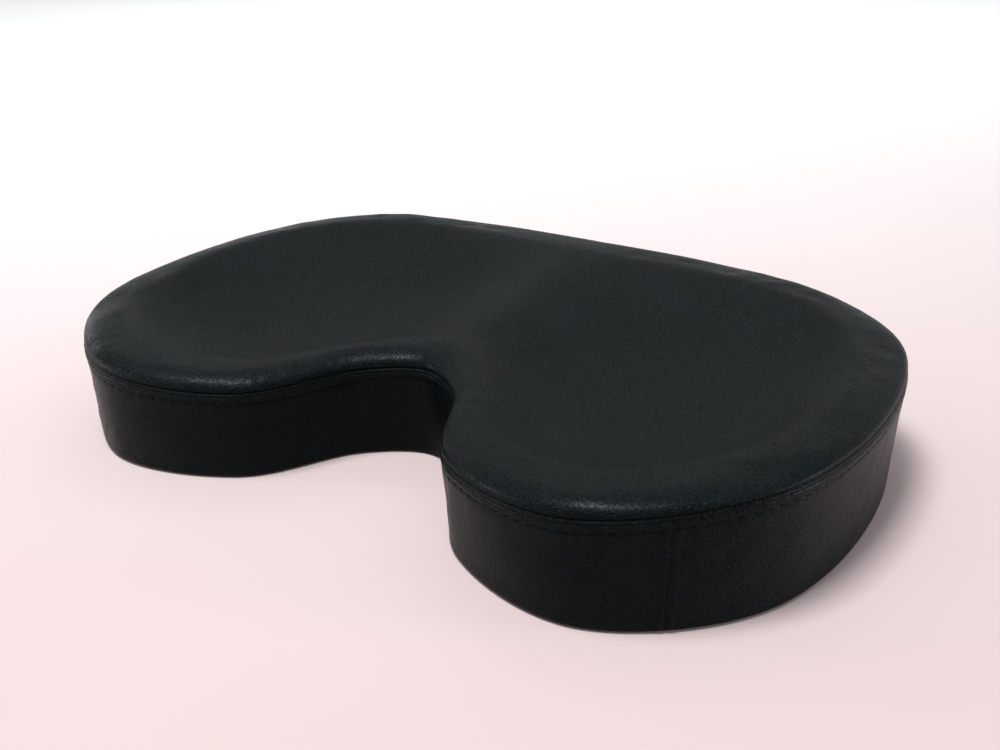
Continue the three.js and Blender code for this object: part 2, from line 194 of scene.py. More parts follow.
class ClosedLine:
    """A smooth closed curve in plan, measured along its length, clockwise from above."""

    def __init__(self, corners: np.ndarray, samples: int = 8000) -> None:
        """Fits a periodic cubic spline through the corners.

        Args:
            corners: plan points in order, one row each.
            samples: how finely the curve is kept.
        """
        after = np.roll(corners, -1, axis=0)
        steps = np.linalg.norm(after - corners, axis=1)
        before = np.roll(steps, 1)
        count = len(corners)
        system = np.zeros((count, count))
        rows = np.arange(count)
        system[rows, rows] = 2 * (before + steps)
        system[rows, (rows - 1) % count] = before
        system[rows, (rows + 1) % count] = steps
        slope = (after - corners) / steps[:, None]
        bend = np.linalg.solve(system, 6 * (slope - np.roll(slope, 1, axis=0)))
        knots = np.concatenate([[0], np.cumsum(steps)])
        at = np.linspace(0, knots[-1], samples, endpoint=False)
        i = np.searchsorted(knots, at, side="right") - 1
        step = steps[i][:, None]
        right = at[:, None] - knots[i][:, None]
        left = step - right
        j = (i + 1) % count
        self.points = (
            (bend[i] * left**3 + bend[j] * right**3) / (6 * step)
            + (corners[i] / step - bend[i] * step / 6) * left
            + (corners[j] / step - bend[j] * step / 6) * right
        )
        self.measure()

    def measure(self) -> None:
        """Works out lengths and outward normals from the kept points."""
        ahead = np.roll(self.points, -1, axis=0)
        steps = np.linalg.norm(ahead - self.points, axis=1)
        self.along = np.concatenate([[0], np.cumsum(steps)])
        self.length = float(self.along[-1])
        tangent = ahead - np.roll(self.points, 1, axis=0)
        tangent /= np.linalg.norm(tangent, axis=1)[:, None]
        self.outward = np.stack([-tangent[:, 1], tangent[:, 0]], axis=1)

    def _read(self, values: np.ndarray, along: np.ndarray) -> np.ndarray:
        """Values of the kept points at lengths along the curve."""
        looped = np.vstack([values, values[:1]])
        where = np.mod(along, self.length)
        columns = [np.interp(where, self.along, column) for column in looped.T]
        return np.stack(columns, axis=1)

    def place(self, along: np.ndarray, out: np.ndarray | float = 0.0) -> np.ndarray:
        """Plan points at lengths along the curve, so far out from it."""
        shift = np.broadcast_to(out, along.shape)[:, None]
        return self._read(self.points, along) + shift * self.normal(along)

    def normal(self, along: np.ndarray) -> np.ndarray:
        """Unit outward normals at lengths along the curve."""
        found = self._read(self.outward, along)
        return found / np.linalg.norm(found, axis=1)[:, None]

    def widened(self, out: float) -> "ClosedLine":
        """The same curve, stepped out by a distance, with matching places."""
        copy = object.__new__(ClosedLine)
        copy.points = self.points + self.outward * out
        copy.measure()
        return copy

    def even(self, count: int) -> np.ndarray:
        """Evenly spaced lengths along the whole curve."""
        return np.arange(count) * (self.length / count)

    def nearest_length(self, point: tuple[float, float]) -> float:
        """The length along the curve at its place nearest a plan point."""
        gaps = np.linalg.norm(self.points - np.array(point), axis=1)
        return float(self.along[int(gaps.argmin())])


def edge_corners(node: bpy.types.Object) -> np.ndarray:
    """The outer corners of a flat board's upper face, clockwise from above, from the middle of the back."""
    work = bmesh.new()
    work.from_mesh(node.data)
    bmesh.ops.remove_doubles(work, verts=work.verts, dist=CLOSE)
    top = max(v.co.z for v in work.verts)
    links: dict[bmesh.types.BMVert, list[bmesh.types.BMVert]] = defaultdict(list)
    for edge in work.edges:
        level = all(abs(v.co.z - top) < CLOSE for v in edge.verts)
        if level and any(abs(face.normal.z) < 0.5 for face in edge.link_faces):
            first, second = edge.verts
            links[first].append(second)
            links[second].append(first)
    start = min(links, key=lambda v: abs(v.co.x) - v.co.y)
    previous, current = start, max(links[start], key=lambda v: v.co.x)
    found = [start]
    while current is not start:
        found.append(current)
        previous, current = current, next(v for v in links[current] if v is not previous)
    corners = np.array([v.co.xy[:] for v in found])
    work.free()
    return corners


@dataclass
class Bowl:
    """One of the two shallow hollows that the sitter fills."""

    x: float = 112 * MM
    y: float = -6 * MM
    half_width: float = 96 * MM
    half_depth: float = 102 * MM
    depth: float = 16 * MM
    crest: float = 12 * MM
    squareness: float = 3.4
    square_back: tuple[float, float] = (-20 * MM, 60 * MM)
    square_across: tuple[float, float] = (130 * MM, 70 * MM)
    power: float = 4.0

    def share(self, plan: np.ndarray) -> np.ndarray:
        """How deep the nearer bowl is at plan points, from 0 outside to 1 at its middle."""
        aside = np.abs(plan[:, 0])
        from_middle = aside + self.crest * np.exp(-aside / self.crest)
        across = np.abs(from_middle - self.x) / self.half_width
        back = np.abs(plan[:, 1] - self.y) / self.half_depth
        square = (across**self.squareness + back**self.squareness) ** (1 / self.squareness)
        rounded = np.hypot(across, back)
        at_back = smooth_step(plan[:, 1], *self.square_back) * smooth_step(aside, *self.square_across)
        return np.exp(-((rounded + (square - rounded) * at_back) ** self.power))


@dataclass
class SeatForm:
    """The shape that the cover follows: outline and seam heights from the frame, and the top's relief."""

    nodes: dict[str, bpy.types.Object]
    flare: float = 3 * MM
    crown: float = 7.3 * MM
    back_corner_rise: float = 2.2 * MM
    front_end_fall: float = 2.4 * MM
    crown_width: float = 13 * MM
    end_widening: float = 14 * MM
    ends: tuple[float, float] = (150 * MM, 215 * MM)
    corners_across: tuple[float, float] = (85 * MM, 150 * MM)
    corners_back: tuple[float, float] = (-50 * MM, 50 * MM)
    front_ends_across: tuple[float, float] = (185 * MM, 210 * MM)
    front_ends_front: tuple[float, float] = (-50 * MM, -95 * MM)
    bowl_edge: float = 50 * MM
    stations: int = 180
    least_height: float = 30 * MM
    bowl: Bowl = field(default_factory=Bowl)

    def __post_init__(self) -> None:
        """Reads the outline from the board and the seam's heights from the two bands."""
        corners = edge_corners(self.nodes["base_board"])
        self.outline = ClosedLine(corners).widened(COVER + GAP)
        self.seam = self.outline.widened(self.flare)
        inside_edge = self.flare - 1.1 * COVER / 2
        plan = self.outline.place(self.outline.even(self.stations), inside_edge)
        heights = self._band_heights(plan)
        known = np.isfinite(heights)
        self.height_terms = np.linalg.lstsq(self._terms(plan[known]), heights[known], rcond=None)[0]
        self.seam_tree = KDTree(len(self.seam.points))
        for i, point in enumerate(self.seam.points):
            self.seam_tree.insert((point[0], point[1], 0), i)
        self.seam_tree.balance()

    def _band_heights(self, plan: np.ndarray) -> np.ndarray:
        """Heights of the two bands' upper edges under plan points, or nan where a ray misses."""
        heights = np.full(len(plan), np.nan)
        for name in ("band_front", "band_rear"):
            mesh = self.nodes[name].data
            tree = BVHTree.FromPolygons([v.co for v in mesh.vertices], [p.vertices for p in mesh.polygons])
            for i, point in enumerate(plan):
                hit = tree.ray_cast(Vector((point[0], point[1], 1)), Vector((0, 0, -1)))[0]
                if hit is not None and hit.z > self.least_height:
                    heights[i] = hit.z + COVER + GAP
        return heights

    @staticmethod
    def _terms(plan: np.ndarray) -> np.ndarray:
        """The terms whose sum is the seam's height: a tilt, bends each way and a twist."""
        x, y = plan[:, 0], plan[:, 1]
        return np.stack([np.ones(len(plan)), y, y * y, x * x, x * x * y], axis=1)

    def seam_height(self, plan: np.ndarray) -> np.ndarray:
        """Height of the seam's surface at plan points."""
        return self._terms(plan) @ self.height_terms

    def from_seam(self, plan: np.ndarray) -> tuple[np.ndarray, np.ndarray]:
        """Each plan point's distance in from the seam, and the length along the seam nearest to it."""
        found = [self.seam_tree.find((x, y, 0)) for x, y in plan]
        return np.array([f[2] for f in found]), self.seam.along[[f[1] for f in found]]

    def roll(self, plan: np.ndarray, inset: np.ndarray) -> np.ndarray:
        """Rise of the rolled edge above the seam, at plan points and distances in from it."""
        across, back = np.abs(plan[:, 0]), plan[:, 1]
        width = self.crown_width + self.end_widening * smooth_step(across, *self.ends)
        at_corner = smooth_step(across, *self.corners_across) * smooth_step(back, *self.corners_back)
        at_front_end = smooth_step(across, *self.front_ends_across)
        at_front_end = at_front_end * smooth_step(back, *self.front_ends_front)
        crown = self.crown + self.back_corner_rise * at_corner - self.front_end_fall * at_front_end
        rolled = 1 - np.clip(inset / width, 0, 1)
        return crown * np.sqrt(1 - rolled**2)

    def relief(self, plan: np.ndarray, inset: np.ndarray) -> np.ndarray:
        """Height of the top without its edge roll: the seam's surface less the bowls."""
        sunk = self.bowl.depth * self.bowl.share(plan) * smooth_step(inset, 0, self.bowl_edge)
        return self.seam_height(plan) - sunk


# ---- The pad under the cover: cloth simulation ---------------------------------------------------


@dataclass
class PadFill:
    """The shaped foam, swelled a little between its seam and its board by cloth simulation."""

    form: SeatForm
    spacing: float = 9 * MM
    voxel: float = 5 * MM
    pressure: float = 4.0
    frames: int = 20
    cap: float = 2.4 * MM
    board_top: float = 13.8 * MM
    drop: float = COVER + GAP + WADDING + GAP
    inset: float = 3.2 * MM
    held_inset: tuple[float, float] = (12 * MM, 5 * MM)
    held_drop: float = 4 * MM
    held_width: float = 5 * MM
    held_low: tuple[float, float] = (20 * MM, 15 * MM)

    def closed_form(self) -> bpy.types.Object:
        """The foam as one closed mesh: flat below, upright at the sides, shaped on top."""
        form = self.form
        lengths = form.seam.even(int(form.seam.length / self.spacing))
        loop = form.seam.place(lengths, -self.inset)
        inner = hex_points(form, self.spacing, self.inset + 0.7 * self.spacing)
        plan, triangles = triangulated(loop, [], inner)
        inset, _ = form.from_seam(plan)
        top = form.relief(plan, inset) + form.roll(plan, inset) - self.drop
        below = np.column_stack([plan, np.full(len(plan), self.board_top)])
        points = np.vstack([np.column_stack([plan, top]), below])
        return new_piece("foam_pad", points, block_faces(triangles, len(loop), len(plan)))

    def build(self) -> tuple[bpy.types.Object, "SwellField"]:
        """Makes the foam piece.

        Returns:
            The foam, and how far the simulation moved each place.
        """
        piece = self.closed_form()
        apply_modifier(piece, "REMESH", mode="VOXEL", voxel_size=self.voxel)
        before = mesh_points(piece)
        self._swell(piece, before)
        moved = mesh_points(piece) - before
        reach = np.linalg.norm(moved, axis=1)[:, None]
        moved *= np.minimum(1, self.cap / np.maximum(reach, 1e-9))
        set_points(piece, before + moved)
        apply_modifier(piece, "SUBSURF", levels=1, render_levels=1)
        piece.data.shade_smooth()
        log.info("foam swelled by up to %.2f mm", 1000 * float(np.linalg.norm(moved, axis=1).max()))
        return piece, SwellField(before, moved)

    def _swell(self, piece: bpy.types.Object, points: np.ndarray) -> None:
        """Blows the foam's skin out a little, held along the seam and at the board."""
        inset, _ = self.form.from_seam(points[:, :2])
        seam = self.form.seam_height(points[:, :2])
        height = points[:, 2]
        by_seam = smooth_step(inset, *self.held_inset) * hump(height - seam, -self.held_drop, self.held_width)
        held = np.maximum(by_seam, smooth_step(height, *self.held_low))
        group = piece.vertex_groups.new(name="held")
        for i, weight in enumerate(held):
            group.add([i], float(np.clip(weight, 0, 1)), "REPLACE")
        cloth = piece.modifiers.new("cloth", "CLOTH")
        cloth.settings.vertex_group_mass = "held"
        cloth.settings.use_pressure = True
        cloth.settings.uniform_pressure_force = self.pressure
        cloth.settings.effector_weights.gravity = 0
        cloth.collision_settings.use_collision = False
        scene = bpy.context.scene
        for step in range(1, self.frames + 1):
            scene.frame_set(step)
        select_only(piece)
        bpy.ops.object.modifier_apply(modifier=cloth.name)
        scene.frame_set(1)


class SwellField:
    """How far the fill pushes the cover out, read from the simulated foam."""

    def __init__(self, points: np.ndarray, moved: np.ndarray) -> None:
        """Keeps the foam's points and their moves in a search tree."""
        self.moved = moved
        self.tree = KDTree(len(points))
        for i, point in enumerate(points):
            self.tree.insert(point, i)
        self.tree.balance()
        self.still = not np.abs(moved).max() > 0

    def at(self, points: np.ndarray, near: int = 10) -> np.ndarray:
        """The move at each of some places: a smooth mean of the nearest foam points' moves."""
        if self.still:
            return np.zeros_like(points)
        result = np.empty_like(points)
        for row, point in enumerate(points):
            found = self.tree.find_n(point, near)
            gaps = np.array([f[2] for f in found])
            weights = np.maximum(gaps.max() * 1.05 - gaps, 1e-9) ** 2
            result[row] = weights @ self.moved[[f[1] for f in found]] / weights.sum()
        return result


def hex_points(form: SeatForm, spacing: float, least_inset: float) -> np.ndarray:
    """Plan points of an even triangular pattern inside the seam, at least so far in from it."""
    low, high = form.seam.points.min(0), form.seam.points.max(0)
    rise = spacing * math.sqrt(3) / 2
    rows = np.arange(low[1], high[1], rise)
    columns = np.arange(low[0], high[0], spacing)
    x, y = np.meshgrid(columns, rows)
    x = x + (np.arange(len(rows)) % 2)[:, None] * spacing / 2
    plan = np.column_stack([x.ravel(), y.ravel()])
    inset, along = form.from_seam(plan)
    inside = ((plan - form.seam.place(along)) * form.seam.normal(along)).sum(1) < 0
    return plan[inside & (inset > least_inset)]


def triangulated(
    loop: np.ndarray, rings: list[np.ndarray], inner: np.ndarray
) -> tuple[np.ndarray, list[tuple[int, int, int]]]:
    """Fills a closed plan loop with triangles.

    Args:
        loop: the loop's corners, in order. They come first in the result.
        rings: more closed loops of points inside it.
        inner: loose points inside it.

    Returns:
        All plan points, and triangles that face up.
    """
    plan = np.vstack([loop, *rings, inner])
    edges = [(i, (i + 1) % len(loop)) for i in range(len(loop))]
    found = delaunay_2d_cdt([Vector(p) for p in plan], edges, [], 1, 1e-7)
    source = [origin[0] if origin else -1 for origin in found[3]]
    if len(source) != len(plan) or min(source) < 0:
        raise ValueError("two plan points fell together")
    return plan, [tuple(source[v] for v in face) for face in found[2]]


# ---- The cover -----------------------------------------------------------------------------------


@dataclass
class Gathers:
    """The small folds that the seam draws into the panel beside it."""

    height: float = 0.5 * MM
    reach: float = 9 * MM
    pitches: tuple[float, ...] = (3.6 * MM, 6.2 * MM, 11 * MM)
    shares: tuple[float, ...] = (1.0, 0.8, 0.4)
    elsewhere: float = 0.25
    patch: float = 38 * MM
    front: tuple[float, float] = (20 * MM, -60 * MM)
    across: tuple[float, float] = (200 * MM, 150 * MM)

    def at(self, form: SeatForm, along: np.ndarray, inset: np.ndarray) -> np.ndarray:
        """How far the folds stand up, at lengths along the seam and distances from it."""
        total = np.zeros(len(along))
        for k, pitch in enumerate(self.pitches):
            turns = max(3, round(form.seam.length / pitch))
            angle = 2 * np.pi * along / form.seam.length
            radius = turns / (2 * np.pi)
            ring = np.column_stack([radius * np.cos(angle), radius * np.sin(angle), inset / (5 * pitch)])
            fading = np.exp(-inset / (self.reach * (0.6 + 0.5 * k)))
            total += self.shares[k] * lattice_noise(ring, 11 + k) * fading
        patches = 0.45 + 0.55 * lattice_noise(np.column_stack([along / self.patch]), 5) ** 2
        plan = form.seam.place(along)
        at_front = smooth_step(plan[:, 1], *self.front) * smooth_step(np.abs(plan[:, 0]), *self.across)
        return self.height * total * patches * (self.elsewhere + (1 - self.elsewhere) * at_front)


@dataclass
class Creases:
    """Faint slanting wrinkles where the panel was stretched into a bowl."""

    height: float = 0.26 * MM
    across: float = 5 * MM
    length: float = 34 * MM
    slant: float = math.radians(28)
    patch: float = 45 * MM

    def at(self, form: SeatForm, plan: np.ndarray) -> np.ndarray:
        """How far the wrinkles stand up at plan points."""
        side = np.sign(plan[:, 0])
        x, y = np.abs(plan[:, 0]), plan[:, 1]
        turned_x = x * math.cos(self.slant) - y * math.sin(self.slant)
        turned_y = x * math.sin(self.slant) + y * math.cos(self.slant)
        places = np.column_stack([turned_x / self.length, turned_y / self.across, 7.3 * side])
        ridged = lattice_noise(places, 21)
        patches = smooth_step(lattice_noise(plan / self.patch, 22), -0.2, 0.6)
        return self.height * ridged * patches * form.bowl.share(plan)


@dataclass
class TopPanel:
    """The one-piece top of the cover, rolled over its seam."""

    form: SeatForm
    swell: SwellField
    pitch: float = 1.0 * MM
    spacing: float = 2.6 * MM
    lip: float = 1.2 * MM
    roll_insets: tuple[float, ...] = (0.05, 0.2, 0.5, 0.95, 1.6, 2.5, 3.7, 5.2, 7.0, 9.0, 11.0)
    ring_steps: tuple[float, ...] = (2.0, 4.4, 7.2, 10.4, 13.2)
    inner_from: float = 15.2 * MM
    allowance: float = 8 * MM
    stiff_rows: int = 6
    unevenness: float = 0.5 * MM
    uneven_length: float = 55 * MM
    gathers: Gathers = field(default_factory=Gathers)
    creases: Creases = field(default_factory=Creases)

    def profile(self) -> list[tuple[float, float]]:
        """The edge in section, as distance in from the seam and height above it."""
        rows = [(self.lip, -self.allowance), (self.lip, -self.allowance / 2), (self.lip, -0.6 * MM)]
        for turn in (0, 22.5, 45, 67.5, 90):
            angle = math.radians(turn)
            rows.append((self.lip * (1 - math.sin(angle)), self.lip * (1 - math.cos(angle))))
        return rows + [(inset * MM, self.lip) for inset in self.roll_insets]

    def build(self) -> bpy.types.Object:
        """Makes the panel."""
        form = self.form
        columns = 2 * int(form.seam.length / self.pitch / 2)
        along = form.seam.even(columns)
        strips, strip_insets = [], []
        profile = self.profile()
        rolled_from = len(profile) - len(self.roll_insets)
        for k, (inset, rise) in enumerate(profile):
            plan = form.seam.place(along, -inset)
            insets = np.full(columns, inset)
            height = form.relief(plan, insets) + rise
            if k >= rolled_from:
                height += form.roll(plan, insets)
            strips.append(np.column_stack([plan, height]))
            strip_insets.append(insets)
        last = profile[-1][0]
        rings = [form.seam.place(along[::2], -(last + step * MM)) for step in self.ring_steps]
        inner = hex_points(form, self.spacing, last + self.inner_from)
        plan, triangles = triangulated(form.seam.place(along, -last), rings, inner)
        inset, nearest = form.from_seam(plan[columns:])
        inner_height = form.relief(plan[columns:], inset) + self.lip + form.roll(plan[columns:], inset)
        points = np.vstack([*strips, np.column_stack([plan[columns:], inner_height])])
        insets = np.concatenate([*strip_insets, inset])
        lengths = np.concatenate([np.tile(along, len(profile)), nearest])
        points = self._shaped(points, insets, lengths, columns)
        start = (len(profile) - 1) * columns
        faces = [tuple(reversed(face)) for face in grid_faces(len(profile), columns, closed=True)]
        faces += [tuple(v + start for v in triangle) for triangle in triangles]
        piece = new_piece("cover_top_panel", points, faces)
        log.info("top panel: %d points round, %d in all", columns, len(points))
        return piece

    def _shaped(
        self, points: np.ndarray, insets: np.ndarray, lengths: np.ndarray, columns: int
    ) -> np.ndarray:
        """Adds what sewing and stuffing do: swelling, gathers, creases and a slow unevenness.

        Args:
            points: the panel's points, its edge rows first.
            insets: each point's distance in from the seam.
            lengths: each point's length along the seam.
            columns: how many points an edge row has.

        Returns:
            The moved points.
        """
        plan = points[:, :2]
        free = smooth_step(insets, 0.5 * MM, 6 * MM)
        free[: self.stiff_rows * columns] = 0
        drawn = 0.4 + 0.6 * smooth_step(plan[:, 1], -20 * MM, -70 * MM) + 0.5 * hump(plan[:, 0], 0, 50 * MM)
        off_seam = smooth_step(insets, -0.5 * MM, 2.0 * MM)
        rise = self.gathers.at(self.form, lengths, insets) * off_seam * drawn
        rise += self.creases.at(self.form, plan) * free
        rise += self.unevenness * lattice_noise(plan / self.uneven_length, 31) * free
        shaped = points + self.swell.at(points) * free[:, None]
        shaped[:, 2] += rise
        return shaped


class BandSide(Enum):
    """The two pieces of the band."""

    FRONT = "front"
    REAR = "rear"


@dataclass
class BandProfile:
    """The band in section: a folded lip, the sewn-down allowance, and the plain wall."""

    lip: float = 0.3 * MM
    allowance: float = 0.75 * MM
    stitch_drop: float = 6.2 * MM
    cut_back: float = 0.9 * MM
    fullness: float = 0.4 * MM
    near_rows: tuple[float, ...] = (0, 0.15, 0.4, 0.7, 1.0, 1.4, 1.8, 2.2, 2.7, 3.3, 4.0)
    lower_rows: tuple[float, ...] = (4.7, 5.3, 5.8, 6.2, 6.6, 7.2, 8.0, 9.2, 10.8, 13)

    def stand_out(self, drop: np.ndarray) -> np.ndarray:
        """How far the band stands out past the plain wall, at depths below the seam."""
        lip = (self.lip + self.cut_back) * smooth_step(drop, -0.3 * MM, 1.5 * MM) - self.cut_back
        lip -= self.lip * smooth_step(drop, 1.5 * MM, 2.5 * MM)
        folded = self.allowance * smooth_step(drop, 1.9 * MM, 3.4 * MM) * smooth_step(drop, 6.4 * MM, 5.0 * MM)
        below = self.fullness * smooth_step(drop, 6.2 * MM, 7.6 * MM) * smooth_step(drop, 19 * MM, 8 * MM)
        return lip + folded + below

    def drops(self) -> np.ndarray:
        """Depths below the seam at which the band has rows of points."""
        return np.array(self.near_rows + self.lower_rows) * MM


@dataclass(frozen=True)
class Stations:
    """Where the columns of points of a band piece stand."""

    along: np.ndarray
    from_end: np.ndarray
    plan: np.ndarray
    out: np.ndarray
    seam: np.ndarray

    def moved_out(self, distance: np.ndarray | float) -> np.ndarray:
        """The plan points, so far out from the outline."""
        return self.plan + self.out * np.broadcast_to(distance, self.along.shape)[:, None]


@dataclass
class Sewing:
    """What stitches and seams do to a band piece."""

    stitch_pitch: float = 6.7 * MM
    stitch_depth: float = 0.4 * MM
    ridge: float = 0.5 * MM
    groove: float = 0.2 * MM
    drag: float = 0.5 * MM
    drag_reach: float = 15 * MM
    gather: float = 0.22 * MM
    wrinkle: float = 0.34 * MM
    unevenness: float = 0.35 * MM

    def at(self, where: Stations, depth: np.ndarray, height: np.ndarray, stitch_drop: float) -> np.ndarray:
        """How far the wall stands out: dimples, the end seam's double ridge, puckers and slow wrinkles.

        Args:
            where: the columns.
            depth: each column's depth below the seam.
            height: each column's height above the floor.
            stitch_drop: depth of the row of stitches.

        Returns:
            One distance for each column.
        """
        along, from_end = where.along, where.from_end
        plane = np.column_stack([along, height])
        phase = np.cos(2 * np.pi * along / self.stitch_pitch)
        dimples = -self.stitch_depth * (0.5 + 0.5 * phase) ** 3 * hump(depth, stitch_drop, 1.1 * MM)
        below = smooth_step(depth, 1.5 * MM, 4 * MM)
        uneven = 0.8 + 0.9 * lattice_noise(np.column_stack([height / (6 * MM), along * 0 + 9.7]), 46)
        ridge = self.ridge * hump(from_end, 2.5 * MM, 1.3 * MM) * below * uneven
        groove = -self.groove * hump(from_end, 0, 0.6 * MM)
        pull = np.column_stack([height / (6.5 * MM), from_end / (26 * MM), along * 0 + 3.1])
        near_top = 0.35 + 0.65 * np.exp(-depth / (16 * MM))
        puckers = self.drag * lattice_noise(pull, 41) * np.exp(-from_end / self.drag_reach) * below * near_top
        drawn = np.column_stack([along / (5.2 * MM), depth / (22 * MM)])
        gathered = self.gather * lattice_noise(drawn, 42) * np.exp(-depth / (9 * MM)) * below
        slant = np.column_stack([(along + 0.8 * height) / (9 * MM), (height - 0.5 * along) / (30 * MM)])
        patches = smooth_step(lattice_noise(plane / (40 * MM), 44), -0.1, 0.7)
        wrinkles = self.wrinkle * lattice_noise(slant, 43) * patches
        slow = self.unevenness * lattice_noise(plane / (36 * MM), 45)
        body = smooth_step(depth, 6 * MM, 12 * MM) * smooth_step(height, 2 * MM, 9 * MM)
        return dimples + ridge + groove + puckers + gathered + (wrinkles + slow) * body


@dataclass
class Band:
    """One piece of the upright band, with its hem turned under the board."""

    form: SeatForm
    swell: SwellField
    side: BandSide
    seam_near: tuple[float, float] = (185 * MM, -125 * MM)
    pitch: float = 1.0 * MM
    end_gap: float = 0.02 * MM
    edge_radius: float = 1.8 * MM
    wall_rows: int = 17
    tuck_in: float = 0.8 * MM
    tuck_down: float = 7 * MM
    hem_turns: tuple[float, ...] = (15, 30, 45, 60, 75, 90)
    hem_insets: tuple[float, ...] = (4, 7, 11, 16, 21, 25)
    hem_lift: float = 0.1 * MM
    pleat: float = 0.18 * MM
    rear_drag: float = 1.3 * MM
    profile: BandProfile = field(default_factory=BandProfile)
    sewing: Sewing = field(default_factory=Sewing)

    def __post_init__(self) -> None:
        """Draws the rear piece harder at its ends."""
        if self.side is BandSide.REAR:
            self.sewing.drag = self.rear_drag

    def span(self) -> tuple[float, float]:
        """Where the piece starts and ends, as lengths along the outline."""
        line = self.form.outline
        tip = line.nearest_length(self.seam_near)
        return (tip, line.length - tip) if self.side is BandSide.FRONT else (-tip, tip)

    def _stations(self) -> Stations:
        """The columns of the piece."""
        line = self.form.outline
        start, end = self.span()
        along = np.linspace(start + self.end_gap, end - self.end_gap, int((end - start) / self.pitch))
        seam = self.form.seam_height(line.place(along, self.form.flare))
        from_end = np.minimum(along - start, end - along)
        return Stations(along, from_end, line.place(along), line.normal(along), seam)

    def build(self) -> bpy.types.Object:
        """Makes the band piece."""
        where = self._stations()
        drops = self.profile.drops()
        rows = [self._wall_row(where, drop) for drop in drops]
        down = np.full(len(where.along), self.tuck_down)
        tuck = rows[0] - np.column_stack([where.out * self.tuck_in, down])
        to_foot = where.seam - (HEM_Z + self.edge_radius) - drops[-1]
        for k in range(1, self.wall_rows + 1):
            rows.append(self._wall_row(where, drops[-1] + k / self.wall_rows * to_foot))
        rows = [tuck, *rows, *self._hem_rows(where)]
        faces = grid_faces(len(rows), len(where.along), closed=False)
        piece = new_piece(f"cover_band_{self.side.value}", np.vstack(rows), faces)
        log.info("band %s: %d by %d points", self.side.value, len(where.along), len(rows))
        return piece

    def _wall_row(self, where: Stations, drop: np.ndarray | float) -> np.ndarray:
        """One row of the wall, at a depth below the seam."""
        depth = np.broadcast_to(drop, where.along.shape).astype(float)
        height = where.seam - depth
        lean = self.form.flare * height / where.seam
        sewn = self.sewing.at(where, depth, height, self.profile.stitch_drop)
        row = np.column_stack([where.moved_out(lean + self.profile.stand_out(depth) + sewn), height])
        free = smooth_step(depth, 7 * MM, 16 * MM) * smooth_step(height, 3 * MM, 14 * MM)
        return row + self.swell.at(row) * free[:, None]

    def _hem_rows(self, where: Stations) -> list[np.ndarray]:
        """Rows round the lower edge and across the hem under the board."""
        rows = []
        for turn in self.hem_turns:
            angle = math.radians(turn)
            inset = self.edge_radius * (1 - math.cos(angle))
            height = HEM_Z + self.edge_radius * (1 - math.sin(angle))
            rows.append(np.column_stack([where.moved_out(-inset), np.full(len(where.along), height)]))
        pleat = self.pleat * lattice_noise(np.column_stack([where.along / (7 * MM)]), 51)
        for inset in self.hem_insets:
            lift = HEM_Z + self.hem_lift + np.maximum(pleat * (inset > self.hem_insets[0]), 0)
            rows.append(np.column_stack([where.moved_out(-inset * MM), lift]))
        return rows


